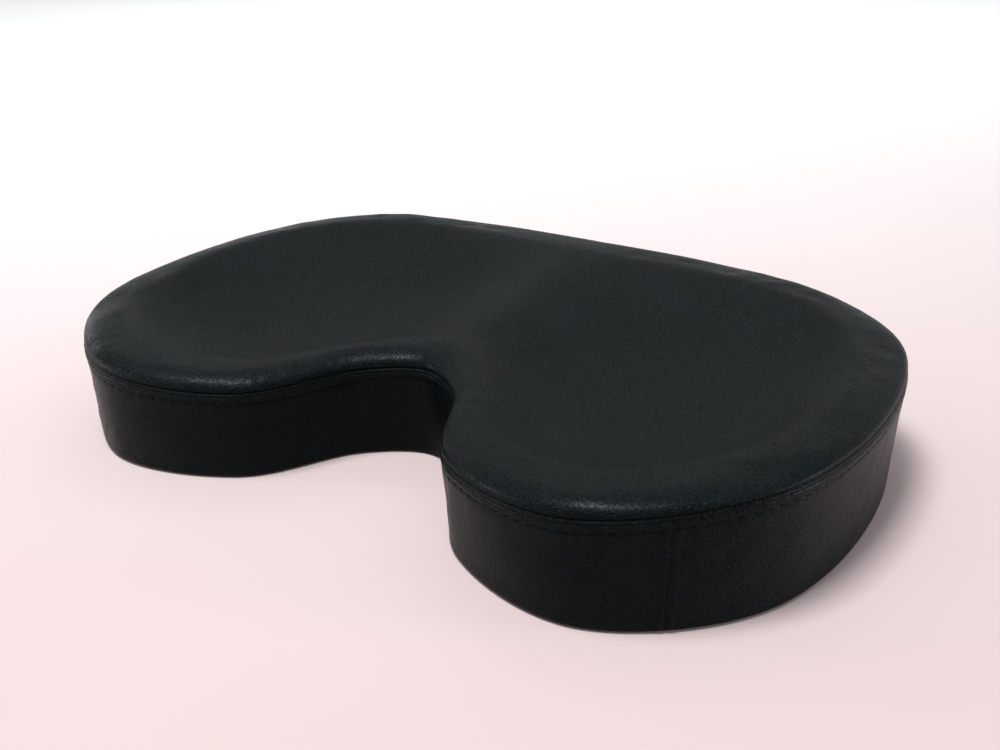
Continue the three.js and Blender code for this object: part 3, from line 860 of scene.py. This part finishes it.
@dataclass
class TopStitching:
    """The row of thread that holds the folded allowance to the band."""

    form: SeatForm
    band: Band
    length: float = 3.9 * MM
    thread: float = 0.65 * MM
    sink: float = 0.3 * MM
    end_room: float = 4 * MM

    def _model(self) -> bpy.types.Object:
        """One stitch: a rounded length of thread along X, its ends drawn down into the cloth."""
        bpy.ops.object.select_all(action="DESELECT")
        lying = (0, math.pi / 2, 0)
        bpy.ops.mesh.primitive_uv_sphere_add(segments=8, ring_count=6, radius=0.5, rotation=lying)
        bpy.ops.object.transform_apply(location=True, rotation=True, scale=True)
        model = bpy.context.object
        bpy.ops.object.mode_set(mode="EDIT")
        bpy.ops.mesh.select_all(action="SELECT")
        bpy.ops.transform.resize(value=(self.length, self.thread, self.thread))
        for side in (-1, 1):
            self._pick_end(model, side)
            bpy.ops.transform.translate(value=(0, 0, -0.8 * self.thread))
        bpy.ops.object.mode_set(mode="OBJECT")
        model.data.shade_smooth()
        return model

    def _pick_end(self, model: bpy.types.Object, side: int) -> None:
        """Selects the points of one end of the stitch, in edit mode."""
        bpy.ops.mesh.select_mode(type="VERT")
        bpy.ops.mesh.select_all(action="DESELECT")
        work = bmesh.from_edit_mesh(model.data)
        for vertex in work.verts:
            vertex.select_set(side * vertex.co.x > 0.4 * self.length)
        work.select_flush_mode()
        bmesh.update_edit_mesh(model.data)

    def _places(self) -> list[Matrix]:
        """Where each stitch lies: along the seam, flat on the band."""
        line, form = self.form.outline, self.form
        start, end = self.band.span()
        pitch, drop = self.band.sewing.stitch_pitch, self.band.profile.stitch_drop
        first = math.ceil((start + self.end_room) / pitch)
        last = math.floor((end - self.end_room) / pitch)
        middles = (np.arange(first, last) + 0.5) * pitch
        seam = form.seam_height(line.place(middles, form.flare))
        stand = form.flare * (seam - drop) / seam + self.band.profile.stand_out(np.full(len(middles), drop))
        plan, out = line.place(middles, stand - self.sink), line.normal(middles)
        ahead = line.place(middles + MM, form.flare) - line.place(middles - MM, form.flare)
        climb = form.seam_height(line.place(middles + MM)) - form.seam_height(line.place(middles - MM))
        found = []
        for k, height in enumerate(seam - drop):
            tangent = Vector((*ahead[k], climb[k])).normalized()
            outward = Vector((*out[k], 0)).normalized()
            upward = outward.cross(tangent)
            turn = Matrix((tangent, upward, outward)).transposed().to_4x4()
            found.append(Matrix.Translation((*plan[k], height)) @ turn)
        return found

    def build(self) -> bpy.types.Object:
        """Makes the row of stitches along one band piece."""
        model = self._model()
        copies = []
        for place in self._places():
            copy = bpy.data.objects.new("stitch", model.data.copy())
            copy.data.transform(place)
            bpy.context.scene.collection.objects.link(copy)
            copies.append(copy)
        bpy.data.objects.remove(model)
        select_only(copies[0])
        for copy in copies:
            copy.select_set(True)
        bpy.ops.object.join()
        piece = copies[0]
        piece.name = f"top_stitching_{self.band.side.value}"
        log.info("%s: %d stitches", piece.name, len(copies))
        return piece


# ---- Wadding and underside -----------------------------------------------------------------------


@dataclass
class Wadding:
    """The fibre layer between foam and cover, as a quilt with soft edges."""

    form: SeatForm
    swell: SwellField
    spacing: float = 5 * MM
    edge_spacing: float = 3 * MM
    inset: float = 3.2 * MM
    ring_steps: tuple[float, ...] = (2, 5)
    inner_from: float = 8 * MM
    fluff: float = 0.25 * MM
    fluff_length: float = 8 * MM
    follows: float = 0.9

    def build(self) -> bpy.types.Object:
        """Makes the wadding."""
        form = self.form
        lengths = form.seam.even(int(form.seam.length / self.edge_spacing))
        loop = form.seam.place(lengths, -self.inset)
        rings = [form.seam.place(lengths, -(self.inset + step * MM)) for step in self.ring_steps]
        plan, triangles = triangulated(loop, rings, hex_points(form, self.spacing, self.inset + self.inner_from))
        inset, _ = form.from_seam(plan)
        fluff = self.fluff * lattice_noise(plan / self.fluff_length, 61)
        top = form.relief(plan, inset) + form.roll(plan, inset) - COVER - GAP - np.abs(fluff)
        soft_edge = WADDING * (0.5 + 0.5 * smooth_step(inset, self.inset, self.inset + 5 * MM))
        points = np.column_stack([plan, top])
        points = points + self.swell.at(points) * self.follows
        below = points.copy()
        below[:, 2] -= soft_edge
        faces = block_faces(triangles, len(loop), len(plan))
        return new_piece("wadding_quilt", np.vstack([points, below]), faces)


@dataclass
class DustCover:
    """The non-woven cloth under the board, drawn tight between its staples."""

    form: SeatForm
    nodes: dict[str, bpy.types.Object]
    inset: float = 8 * MM
    spacing: float = 3.2 * MM
    thickness: float = 0.45 * MM
    hole: float = 11 * MM
    hole_margin: float = 3 * MM
    hole_corners: int = 32
    edge_spacing: float = 2.5 * MM
    ring_steps: tuple[float, ...] = (2, 4, 6)
    inner_from: float = 8.5 * MM
    clearance: float = 0.02 * MM
    pressed: float = 0.42 * MM
    pulled: float = 0.22 * MM
    slack: float = 0.16 * MM
    most: float = 0.5 * MM

    def _middles(self, prefix: str) -> np.ndarray:
        """Plan places of the nodes whose names start so."""
        boxes = [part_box(name) for name in sorted(self.nodes) if name.startswith(prefix)]
        return np.array([((low + high) / 2).xy[:] for low, high in boxes])

    @staticmethod
    def _gaps(plan: np.ndarray, middles: np.ndarray) -> np.ndarray:
        """Each plan point's distance from the nearest middle."""
        return np.linalg.norm(plan[:, None] - middles[None], axis=2).min(1)

    def build(self) -> bpy.types.Object:
        """Makes the cloth."""
        form, reach = self.form, self.inset + self.form.flare
        lengths = form.seam.even(int(form.seam.length / self.edge_spacing))
        loop = form.seam.place(lengths, -reach)
        rings = [form.seam.place(lengths, -(reach + step * MM)) for step in self.ring_steps]
        holes, radius = self._middles("tee_nut"), self.hole / 2
        turns = np.linspace(0, 2 * np.pi, self.hole_corners, endpoint=False)
        circle = np.column_stack([np.cos(turns), np.sin(turns)]) * self.hole / 2
        wide = circle * (1 + self.hole_margin / self.hole)
        inner = hex_points(form, self.spacing, reach + self.inner_from)
        clear = self._gaps(inner, holes) > radius + self.hole_margin
        around = [middle + ring for middle in holes for ring in (circle, wide)]
        plan, triangles = triangulated(loop, rings, np.vstack([inner[clear], *around]))
        kept = self._gaps(np.array([plan[list(t)].mean(0) for t in triangles]), holes) > radius * 0.99
        triangles = [t for t, keep in zip(triangles, kept) if keep]
        inset, along = form.from_seam(plan)
        pressed = self.pressed * hump(self._gaps(plan, self._middles("dust_cover_staple")), 0, 5.5 * MM)
        drawn = lattice_noise(np.column_stack([along / (9 * MM), inset / (60 * MM)]), 71)
        pulled = self.pulled * np.abs(drawn) * np.exp(-(inset - reach) / (22 * MM))
        slack = self.slack * (1 + lattice_noise(plan / (34 * MM), 72))
        height = self.clearance + np.maximum(pressed, np.minimum(pulled + slack, self.most))
        points = np.column_stack([plan, height])
        piece = new_piece("dust_cloth", points, [tuple(reversed(t)) for t in triangles])
        apply_modifier(piece, "SOLIDIFY", thickness=self.thickness, offset=-1.0)
        piece.data.shade_smooth()
        return piece

    def flat_size(self) -> tuple[tuple[float, float], float]:
        """The rectangle that the cloth is cut from, and the cut's own area."""
        plan = self.form.seam.points - self.form.seam.outward * (self.inset + self.form.flare)
        low, high = plan.min(0), plan.max(0)
        x, y = plan[:, 0], plan[:, 1]
        area = abs(float(np.dot(x, np.roll(y, -1)) - np.dot(y, np.roll(x, -1)))) / 2
        return (float(high[0] - low[0]), float(high[1] - low[1])), area


# ---- Materials -----------------------------------------------------------------------------------


class Wire:
    """A shader socket, with Python's operators for its maths."""

    def __init__(self, shader: "Shader", socket: bpy.types.NodeSocket) -> None:
        """Wraps an output socket of the shader."""
        self.shader = shader
        self.socket = socket

    def _math(self, operation: str, *values: "Wire | float") -> "Wire":
        """One Math node on values or wires."""
        return self.shader.node("ShaderNodeMath", {"operation": operation}, dict(enumerate(values)))

    def __add__(self, other: "Wire | float") -> "Wire":
        """The sum."""
        return self._math("ADD", self, other)

    def __radd__(self, other: float) -> "Wire":
        """The sum, from the right."""
        return self._math("ADD", other, self)

    def __sub__(self, other: "Wire | float") -> "Wire":
        """The difference."""
        return self._math("SUBTRACT", self, other)

    def __rsub__(self, other: float) -> "Wire":
        """The difference, from the right."""
        return self._math("SUBTRACT", other, self)

    def __mul__(self, other: "Wire | float") -> "Wire":
        """The product."""
        return self._math("MULTIPLY", self, other)

    def __rmul__(self, other: float) -> "Wire":
        """The product, from the right."""
        return self._math("MULTIPLY", other, self)

    def step(self, low: float, high: float) -> "Wire":
        """A share from 0 at low to 1 at high."""
        settings = {"interpolation_type": "SMOOTHSTEP"}
        inputs = {"Value": self, "From Min": low, "From Max": high}
        return self.shader.node("ShaderNodeMapRange", settings, inputs)


class Shader:
    """A material and the nodes that are added to it."""

    def __init__(self, name: str) -> None:
        """Starts a material with an empty surface."""
        self.material = bpy.data.materials.new(name)
        self.material.use_nodes = True
        self.tree = self.material.node_tree
        self.tree.nodes.clear()
        self.place = self.node("ShaderNodeTexCoord", output="Object")

    def node(
        self,
        kind: str,
        settings: dict[str, object] | None = None,
        inputs: dict[str | int, object] | None = None,
        output: str | int | None = 0,
    ) -> Wire | None:
        """Adds a node.

        Args:
            kind: the node's type.
            settings: its own settings, set before its sockets.
            inputs: values or wires by socket name or number.
            output: which socket to return, or None for a node that has none.

        Returns:
            The output socket, wrapped, or None.
        """
        made = self.tree.nodes.new(kind)
        for key, value in (settings or {}).items():
            setattr(made, key, value)
        for key, value in (inputs or {}).items():
            if isinstance(value, Wire):
                self.tree.links.new(value.socket, made.inputs[key])
            else:
                made.inputs[key].default_value = value
        return None if output is None else Wire(self, made.outputs[output])

    def noise(self, scale: float, detail: float = 3.0, place: Wire | None = None, rough: float = 0.5) -> Wire:
        """Cloudy noise from 0 to 1, at so many bumps to the metre."""
        inputs = {"Vector": place or self.place, "Scale": scale, "Detail": detail, "Roughness": rough}
        return self.node("ShaderNodeTexNoise", {}, inputs)

    def cells(self, scale: float, place: Wire | None = None, feature: str = "F1") -> Wire:
        """A pattern of cells, so many to the metre."""
        inputs = {"Vector": place or self.place, "Scale": scale}
        return self.node("ShaderNodeTexVoronoi", {"feature": feature}, inputs, "Distance")

    def stretched(
        self, scale: tuple[float, float, float], turn: tuple[float, float, float] = (0, 0, 0)
    ) -> Wire:
        """The place, stretched and turned, for a pattern with a direction."""
        return self.node("ShaderNodeMapping", {}, {"Vector": self.place, "Scale": scale, "Rotation": turn})

    def mix(self, share: Wire | float, low: tuple[float, ...] | Wire, high: tuple[float, ...] | Wire) -> Wire:
        """A colour between two others."""
        return self.node("ShaderNodeMix", {"data_type": "RGBA"}, {0: share, 6: low, 7: high}, 2)

    def bump(self, height: Wire, distance: float, strength: float = 1.0, below: Wire | None = None) -> Wire:
        """A surface normal from a height."""
        inputs: dict[str | int, object] = {"Height": height, "Distance": distance, "Strength": strength}
        if below is not None:
            inputs["Normal"] = below
        return self.node("ShaderNodeBump", {}, inputs)

    def finish(self, **sockets: object) -> bpy.types.Material:
        """Ends the material in a Principled surface, with its sockets by name, underscores for spaces."""
        inputs = {key.replace("_", " "): value for key, value in sockets.items()}
        surface = self.node("ShaderNodeBsdfPrincipled", {}, inputs)
        self.node("ShaderNodeOutputMaterial", {}, {"Surface": surface}, None)
        return self.material


def grey(value: float) -> tuple[float, float, float, float]:
    """An even colour."""
    return (value, value, value, 1.0)


@dataclass(frozen=True)
class Leatherette:
    """Near-black coated cloth with a fine pebbled grain and a satin face."""

    deep: tuple[float, float, float, float] = (0.0006, 0.0020, 0.0023, 1)
    light: tuple[float, float, float, float] = (0.0012, 0.0032, 0.0036, 1)
    pebbles: float = 980.0
    roughness: float = 0.28
    drift: float = 0.9 * MM
    fold_height: float = 0.3 * MM
    grain_height: float = 0.34 * MM
    gloss: float = 0.045
    film_roughness: float = 0.34
    tint: tuple[float, float, float, float] = (0.76, 0.97, 1.0, 1)

    def material(self) -> bpy.types.Material:
        """Makes the finish."""
        s = Shader("leatherette_black")
        shift = {0: s.noise(420, 2), "Scale": self.drift}
        drift = s.node("ShaderNodeVectorMath", {"operation": "SCALE"}, shift)
        warped = s.node("ShaderNodeVectorMath", {"operation": "ADD"}, {0: s.place, 1: drift})
        pebble = s.cells(self.pebbles, warped, "SMOOTH_F1")
        pebble_groove = s.cells(self.pebbles * 0.55, warped, "DISTANCE_TO_EDGE").step(0.0, 0.16)
        fine = s.noise(5200, 4)
        cloud = s.noise(26, 4)
        patch = s.noise(7, 2)
        colour = s.mix(cloud.step(0.3, 0.7), self.deep, self.light)
        # The grooves between the pebbles are painted darker: painted shade in the grain's grooves.
        colour = s.mix((1 - pebble_groove) * 0.5, colour, grey(0.0008))
        rough = self.roughness - 0.05 + 0.10 * cloud + 0.06 * (1 - pebble_groove) + 0.05 * patch
        grain = (1 - pebble) * 0.6 + pebble_groove * 0.5 + fine * 0.25
        folds = s.bump(s.noise(170, 4, None, 0.6), self.fold_height, 0.6)
        normal = s.bump(grain, self.grain_height, 0.95, folds)
        film = 0.01 + 0.09 * s.noise(900, 3).step(0.35, 0.65)
        gloss = {
            "Specular_IOR_Level": self.gloss,
            "Specular_Tint": self.tint,
            "Coat_Roughness": self.film_roughness,
        }
        return s.finish(Base_Color=colour, Roughness=rough, Normal=normal, Coat_Weight=film, **gloss)


@dataclass(frozen=True)
class Thread:
    """Black bonded polyester thread, twisted."""

    colour: tuple[float, float, float, float] = (0.006, 0.007, 0.007, 1)

    def material(self) -> bpy.types.Material:
        """Makes the finish."""
        s = Shader("thread_black")
        strands = {"Vector": s.place, "Scale": 700, "Distortion": 1.5}
        twist = s.node("ShaderNodeTexWave", {"wave_type": "BANDS"}, strands)
        rough = 0.4 + 0.2 * s.noise(4000, 2)
        # Darker in the grooves between the twisted strands: painted shade.
        colour = s.mix(twist, grey(0.002), self.colour)
        normal = s.bump(twist, 0.1 * MM, 0.8)
        return s.finish(Base_Color=colour, Roughness=rough, Normal=normal, Specular_IOR_Level=0.2)


@dataclass(frozen=True)
class NonWoven:
    """Black spun-bonded cloth, pressed with small dots."""

    def material(self) -> bpy.types.Material:
        """Makes the finish."""
        s = Shader("non_woven_black")
        dots = s.cells(620, s.stretched((1, 1, 0.001)), "F1").step(0.25, 0.55)
        strands = s.noise(900, 5, s.stretched((1, 0.35, 1), (0, 0, 0.6)), 0.65)
        cloud = s.noise(14, 3)
        colour = s.mix(strands.step(0.35, 0.65), grey(0.008), grey(0.021))
        colour = s.mix((1 - dots) * 0.5, colour, grey(0.006))
        rough = 0.78 + 0.12 * cloud - 0.15 * (1 - dots)
        normal = s.bump(strands * 0.6 + dots * 0.4, 0.15 * MM, 0.8)
        return s.finish(Base_Color=colour, Roughness=rough, Normal=normal)


@dataclass(frozen=True)
class Plywood:
    """Birch plywood: grained faces and a layered edge."""

    ply: float = 1.7 * MM

    def material(self) -> bpy.types.Material:
        """Makes the finish."""
        s = Shader("birch_plywood")
        grain = s.noise(60, 6, s.stretched((0.12, 1, 1)), 0.6)
        pores = s.noise(700, 3, s.stretched((0.06, 1, 1)))
        layers = {"Vector": s.place, "Scale": 0.314 / self.ply}
        layer = s.node("ShaderNodeTexWave", {"bands_direction": "Z"}, layers)
        face = s.mix(grain.step(0.3, 0.7), (0.42, 0.27, 0.14, 1), (0.62, 0.45, 0.27, 1))
        face = s.mix(pores.step(0.62, 0.72) * 0.4, face, (0.25, 0.14, 0.06, 1))
        colour = s.mix(layer.step(0.4, 0.6) * 0.55, face, (0.28, 0.16, 0.08, 1))
        normal = s.bump(grain + pores * 0.5, 0.2 * MM, 0.6)
        return s.finish(Base_Color=colour, Roughness=0.62 + 0.2 * grain, Normal=normal)


@dataclass(frozen=True)
class Foam:
    """Grey open-cell seat foam."""

    def material(self) -> bpy.types.Material:
        """Makes the finish."""
        s = Shader("seat_foam_grey")
        cell = s.cells(1300, feature="DISTANCE_TO_EDGE").step(0.0, 0.25)
        cloud = s.noise(30, 3)
        # The cell hollows are painted darker than the struts: painted shade in the pores.
        colour = s.mix(cell, grey(0.36), grey(0.16))
        colour = s.mix(cloud * 0.5, colour, (0.34, 0.34, 0.30, 1))
        normal = s.bump(1 - cell, 0.4 * MM, 0.9)
        return s.finish(Base_Color=colour, Roughness=0.9 + 0.05 * cloud, Normal=normal)


@dataclass(frozen=True)
class WaddingFibre:
    """White polyester fibre."""

    def material(self) -> bpy.types.Material:
        """Makes the finish."""
        s = Shader("wadding_white")
        strands = s.noise(420, 6, s.stretched((1, 0.3, 1), (0, 0, 0.4)), 0.7)
        colour = s.mix(strands, (0.62, 0.62, 0.58, 1), (0.86, 0.86, 0.83, 1))
        normal = s.bump(strands, 0.8 * MM, 0.8)
        return s.finish(Base_Color=colour, Roughness=0.9 + 0.08 * strands, Normal=normal)


@dataclass(frozen=True)
class Plated:
    """Plated steel with fine wear."""

    name: str
    colour: tuple[float, float, float, float]
    worn: tuple[float, float, float, float]
    roughness: float

    def material(self) -> bpy.types.Material:
        """Makes the finish."""
        s = Shader(self.name)
        cloud = s.noise(260, 4)
        scratch = s.noise(1500, 3, s.stretched((1, 0.1, 1), (0, 0, 0.8)))
        colour = s.mix(cloud.step(0.35, 0.7), self.colour, self.worn)
        rough = self.roughness + 0.18 * cloud + 0.1 * scratch
        normal = s.bump(scratch, 0.04 * MM, 0.5)
        return s.finish(Base_Color=colour, Metallic=1.0, Roughness=rough, Normal=normal)


@dataclass(frozen=True)
class FloorFinish:
    """A pale floor, darker and pinker towards the viewer; the darkening is painted shade that evens out the key
    lamp's brighter light on the near floor.
    """

    far_colour: tuple[float, float, float, float] = (0.76, 0.76, 0.76, 1)
    near_colour_with_painted_shade: tuple[float, float, float, float] = (0.372, 0.292, 0.294, 1)
    across: tuple[float, float, float] = (-0.576, 0.817, 0)
    blend: tuple[float, float] = (-0.36, 1.8)

    def material(self) -> bpy.types.Material:
        """Makes the finish."""
        s = Shader("pale_floor")
        cloud = s.noise(3, 2)
        settings = {"operation": "DOT_PRODUCT"}
        distance = s.node("ShaderNodeVectorMath", settings, {0: s.place, 1: self.across}, "Value")
        # Darker towards the viewer: painted shade against the brighter lamp light on the near floor.
        colour = s.mix(distance.step(*self.blend), self.near_colour_with_painted_shade, self.far_colour)
        colour = s.mix(cloud * 0.1, colour, grey(0.7))
        return s.finish(Base_Color=colour, Roughness=0.85 + 0.05 * cloud)


# ---- Studio --------------------------------------------------------------------------------------


@dataclass
class Camera:
    """The view: from the notch's side, to the right and above."""

    target: tuple[float, float, float] = (-45.3 * MM, 58.7 * MM, 0)
    azimuth: float = math.radians(35.2)
    elevation: float = math.radians(23.56)
    distance: float = 769.3 * MM
    roll: float = math.radians(-1.03)
    lens: float = 42.5
    shift: tuple[float, float] = (0.0303, 0.0016)

    def build(self) -> bpy.types.Object:
        """Makes the camera the scene's own."""
        data = bpy.data.cameras.new("camera")
        data.lens = self.lens
        data.sensor_width = 36
        data.shift_x, data.shift_y = self.shift
        data.clip_start = 0.01
        camera = bpy.data.objects.new("camera", data)
        level = math.cos(self.elevation)
        right, near = math.sin(self.azimuth) * level, math.cos(self.azimuth) * level
        back = Vector((right, -near, math.sin(self.elevation)))
        camera.location = Vector(self.target) + back * self.distance
        turn = (-back).to_track_quat("-Z", "Y") @ Quaternion((0, 0, 1), self.roll)
        camera.rotation_mode = "QUATERNION"
        camera.rotation_quaternion = turn
        bpy.context.scene.collection.objects.link(camera)
        bpy.context.scene.camera = camera
        return camera


@dataclass
class SoftBox:
    """A large square lamp, with the spread of its beam in degrees."""

    name: str
    place: tuple[float, float, float]
    size: float
    power: float
    spread: float = 120
    aim: tuple[float, float, float] = (0, 0, 0)

    def build(self) -> None:
        """Hangs the lamp."""
        data = bpy.data.lights.new(self.name, "AREA")
        data.size = self.size
        data.energy = self.power
        data.spread = math.radians(self.spread)
        lamp = bpy.data.objects.new(self.name, data)
        lamp.location = self.place
        lamp.rotation_mode = "QUATERNION"
        lamp.rotation_quaternion = (Vector(self.aim) - Vector(self.place)).to_track_quat("-Z", "Y")
        lamp.visible_camera = False
        bpy.context.scene.collection.objects.link(lamp)


@dataclass
class Studio:
    """Pale floor, soft lamps and an even sky."""

    sky: float = 0.68
    sky_colour: tuple[float, float, float, float] = (0.98, 0.99, 1.0, 1)
    floor_size: float = 12.0
    floor_drop: float = 0.1 * MM
    lamps: tuple[SoftBox, ...] = (
        SoftBox("key_above", (-0.12, -0.62, 2.15), 0.7, 78, 180),
        SoftBox("back_wash", (-0.7, 1.2, 2.2), 1.2, 34, 180, (-2.0, 3.6, 0)),
        SoftBox("low_right", (1.5, 0.55, 0.22), 0.4, 1.9, 70),
        SoftBox("low_left", (-1.4, 0.3, 0.2), 0.35, 0.16, 70),
        SoftBox("wall_fill", (-1.0, -0.65, 0.2), 0.3, 0.9, 80),
    )

    def build(self) -> None:
        """Sets up floor, sky and lamps."""
        bpy.ops.object.select_all(action="DESELECT")
        bpy.ops.mesh.primitive_plane_add(size=self.floor_size, location=(0, 0, -self.floor_drop))
        floor = bpy.context.object
        floor.name = "floor"
        floor.data.materials.append(FloorFinish().material())
        world = bpy.data.worlds.new("sky")
        world.use_nodes = True
        background = world.node_tree.nodes["Background"]
        background.inputs["Color"].default_value = self.sky_colour
        background.inputs["Strength"].default_value = self.sky
        bpy.context.scene.world = world
        for lamp in self.lamps:
            lamp.build()
        bpy.context.scene.view_settings.view_transform = "Standard"


# ---- Assembly ------------------------------------------------------------------------------------


def dress(piece: bpy.types.Object, material: bpy.types.Material) -> None:
    """Gives a piece or a carried node one finish."""
    piece.data.materials.clear()
    piece.data.materials.append(material)


def hand_over(
    piece: bpy.types.Object, material: bpy.types.Material, slot: str | None, *stands_for: str
) -> None:
    """Dresses a finished piece, fixes it to the seat and hides the nodes it stands for."""
    dress(piece, material)
    if stands_for:
        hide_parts(*stands_for)
    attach(piece, ROOT)
    log.info("%s: %d faces", piece.name, len(piece.data.polygons))


class SeatCushion:
    """The whole cushion, in the order in which its pieces are made."""

    def __init__(self, nodes: dict[str, bpy.types.Object]) -> None:
        """Reads the seat's form from the frame."""
        self.nodes = nodes
        self.form = SeatForm(nodes)

    def build(self) -> None:
        """Makes and dresses every piece."""
        foam, swell = PadFill(self.form).build()
        hand_over(foam, Foam().material(), "foam", "foam_core")
        self._build_cover(swell)
        wadding = Wadding(self.form, swell).build()
        hand_over(wadding, WaddingFibre().material(), "wadding", "wadding_layer")
        cloth = DustCover(self.form, self.nodes)
        sheet = cloth.build()
        hand_over(sheet, NonWoven().material(), "non_woven", "dust_cover")
        flat, area = cloth.flat_size()
        self._dress_nodes()

    def _build_cover(self, swell: SwellField) -> None:
        """Makes the top panel, the two bands and their stitching."""
        leatherette = Leatherette().material()
        thread = Thread().material()
        top = TopPanel(self.form, swell).build()
        hand_over(top, leatherette, "leatherette", "top_panel")
        for side in BandSide:
            band = Band(self.form, swell, side)
            piece = band.build()
            hand_over(piece, leatherette, "leatherette", f"band_{side.value}")
            hand_over(TopStitching(self.form, band).build(), thread, None)

    def _dress_nodes(self) -> None:
        """Gives the nodes that stay as they are their finishes."""
        board = Plywood().material()
        zinc = Plated("zinc_plate", (0.62, 0.64, 0.66, 1), (0.50, 0.51, 0.50, 1), 0.24).material()
        staple = Plated("staple_wire", (0.50, 0.51, 0.52, 1), (0.38, 0.38, 0.37, 1), 0.3).material()
        for name, node in self.nodes.items():
            if name == "base_board":
                dress(node, board)
            elif name.startswith("tee_nut"):
                dress(node, zinc)
            elif "staple" in name:
                dress(node, staple)


def main() -> None:
    """Builds the cushion in its studio."""
    logging.basicConfig(level=logging.INFO, format="%(name)s: %(message)s")
    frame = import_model()
    Camera().build()
    Studio().build()
    SeatCushion(frame["nodes"]).build()


if __name__ == "__main__":
    main()
